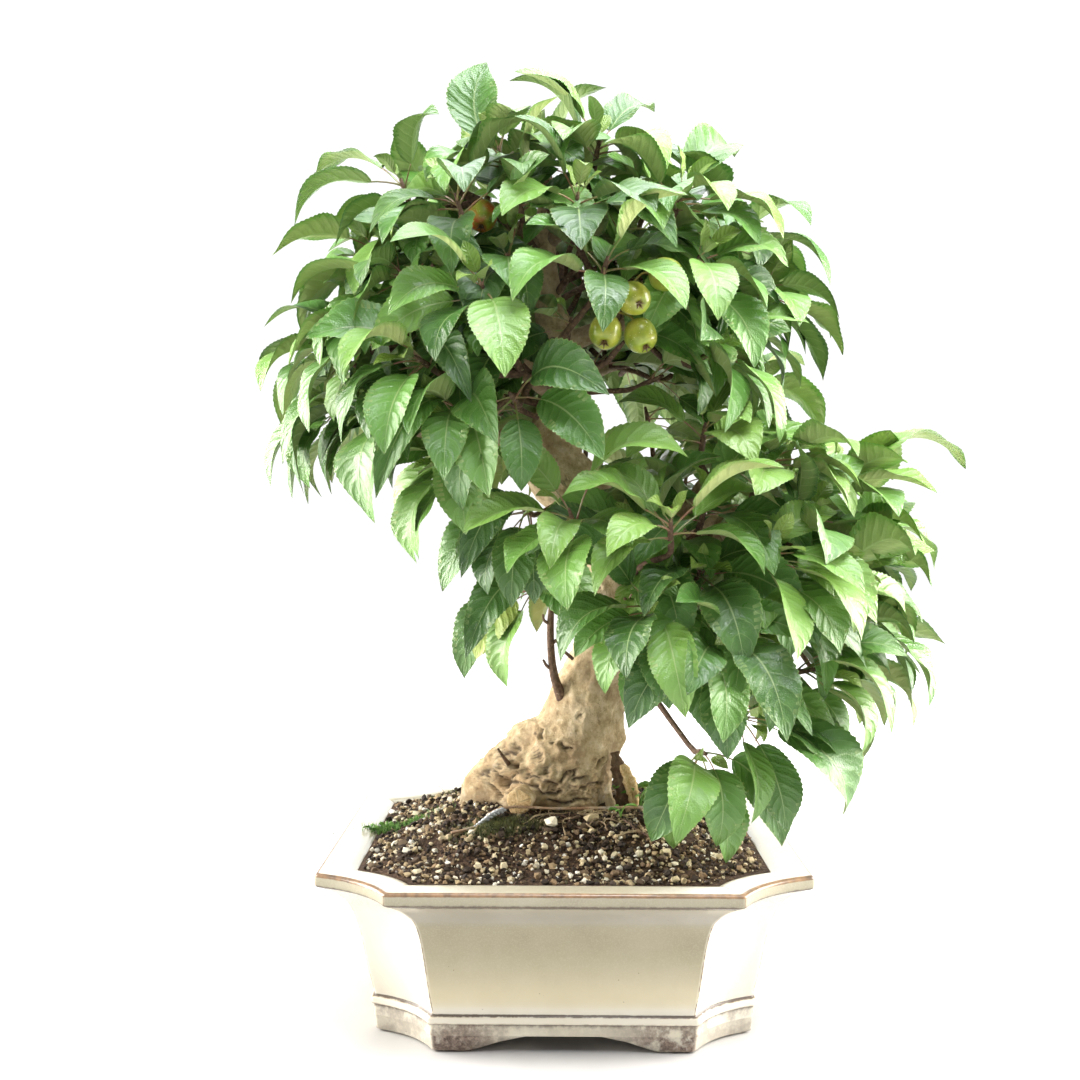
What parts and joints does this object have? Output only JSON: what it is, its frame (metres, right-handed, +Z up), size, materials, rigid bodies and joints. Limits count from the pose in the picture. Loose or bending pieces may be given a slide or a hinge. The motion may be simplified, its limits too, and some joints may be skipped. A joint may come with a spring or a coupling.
{
  "type": "crabapple bonsai",
  "caption": "Crabapple bonsai with a leaning trunk, a tiered leafy crown and small green-gold apples, in a cream glazed rectangular pot filled with granular soil.",
  "frame": {"origin": "bottom centre of the whole part's box, on the surface that the pot's feet stand on", "axes": "+Z up along the tree, +X to the right of the front view, -Y to the front"},
  "size_m": [0.5702, 0.4004, 0.751],
  "materials": {
    "glaze": "cream glaze with fine speckle, brown where it breaks thin on edges",
    "soil": "dark loose bonsai soil with tan, cream and grey grit",
    "mesh_plastic": "dark green drainage mesh",
    "wire": "dull, weathered bare wire",
    "bark": "tan and grey-brown bark with fine cracks and knots",
    "leaf": "fresh green leaves, satin above and paler below, with light midribs",
    "crabapple": "smooth yellow-green skin with a red-brown blush"
  },
  "bodies": {
    "root": {"pot": "glaze", "soil": "soil", "drain_mesh": "mesh_plastic", "tie_wire": "wire", "wood": "bark", "fruit_cluster": "crabapple", "fruit_single_low": "crabapple", "fruit_single_high": "crabapple", "leafy_shoot_01": "leaf", "leafy_shoot_02": "leaf", "leafy_shoot_03": "leaf", "leafy_shoot_04": "leaf", "leafy_shoot_05": "leaf", "leafy_shoot_06": "leaf", "leafy_shoot_07": "leaf", "leafy_shoot_08": "leaf", "leafy_shoot_09": "leaf", "leafy_shoot_10": "leaf", "leafy_shoot_11": "leaf", "leafy_shoot_12": "leaf", "leafy_shoot_13": "leaf", "leafy_shoot_14": "leaf", "leafy_shoot_15": "leaf", "leafy_shoot_16": "leaf", "leafy_shoot_17": "leaf", "leafy_shoot_18": "leaf", "leafy_shoot_19": "leaf", "leafy_shoot_20": "leaf", "leafy_shoot_21": "leaf", "leafy_shoot_22": "leaf", "leafy_shoot_23": "leaf", "leafy_shoot_24": "leaf", "leafy_shoot_25": "leaf", "leafy_shoot_26": "leaf", "leafy_shoot_27": "leaf", "leafy_shoot_28": "leaf", "leafy_shoot_29": "leaf", "leafy_shoot_30": "leaf", "leafy_shoot_31": "leaf", "leafy_shoot_32": "leaf", "leafy_shoot_33": "leaf", "leafy_shoot_34": "leaf", "leafy_shoot_35": "leaf", "leafy_shoot_36": "leaf", "leafy_shoot_37": "leaf", "leafy_shoot_38": "leaf", "leafy_shoot_39": "leaf", "leafy_shoot_40": "leaf", "leafy_shoot_41": "leaf", "leafy_shoot_42": "leaf", "leafy_shoot_43": "leaf", "leafy_shoot_44": "leaf", "leafy_shoot_45": "leaf", "leafy_shoot_46": "leaf", "leafy_shoot_47": "leaf", "leafy_shoot_48": "leaf", "leafy_shoot_49": "leaf", "leafy_shoot_50": "leaf", "leafy_shoot_51": "leaf", "leafy_shoot_52": "leaf"}
  },
  "joints": []
}
